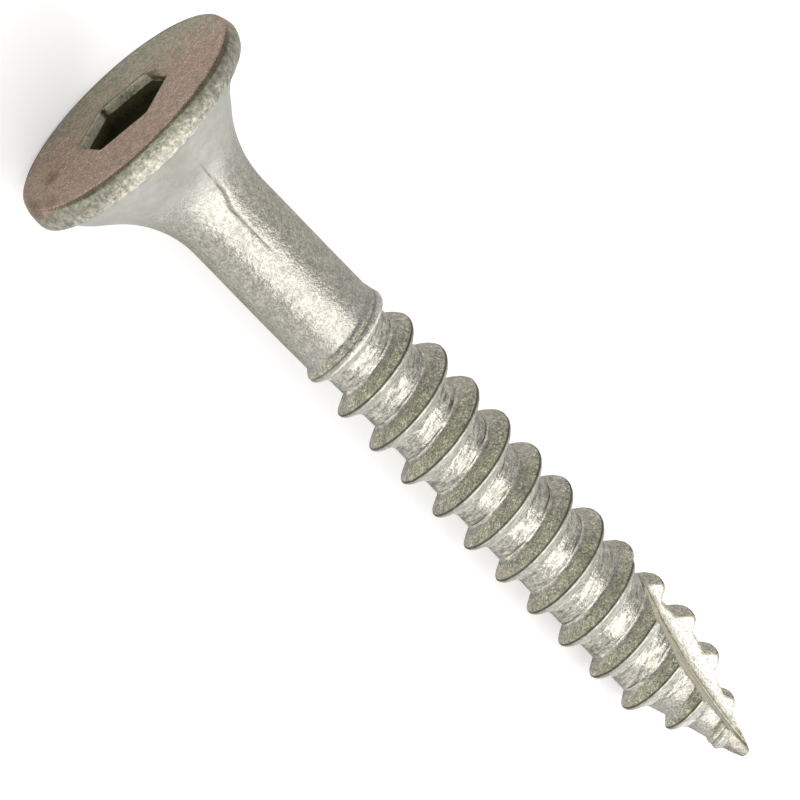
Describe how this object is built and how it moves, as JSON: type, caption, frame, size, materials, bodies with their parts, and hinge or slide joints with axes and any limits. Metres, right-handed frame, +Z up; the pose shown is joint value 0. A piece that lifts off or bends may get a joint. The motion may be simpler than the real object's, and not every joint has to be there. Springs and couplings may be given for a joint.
{
  "type": "batten screw",
  "caption": "Coarse-threaded galvanised wood screw with a flat bugle head, a hexagon socket and a fluted self-drilling point, lying on its side.",
  "frame": {"origin": "bottom centre of the box round the screw as it lies at rest, on the ground", "axes": "+X from the head to the point, level with the ground; +Z up; +Y across the screw"},
  "size_m": [0.0504, 0.0142, 0.0142],
  "materials": {
    "zinc": "hot-dip galvanised, dull grey with a fine grain, bright in the thread roots"
  },
  "bodies": {
    "root": {"batten_screw": "zinc"}
  },
  "joints": []
}
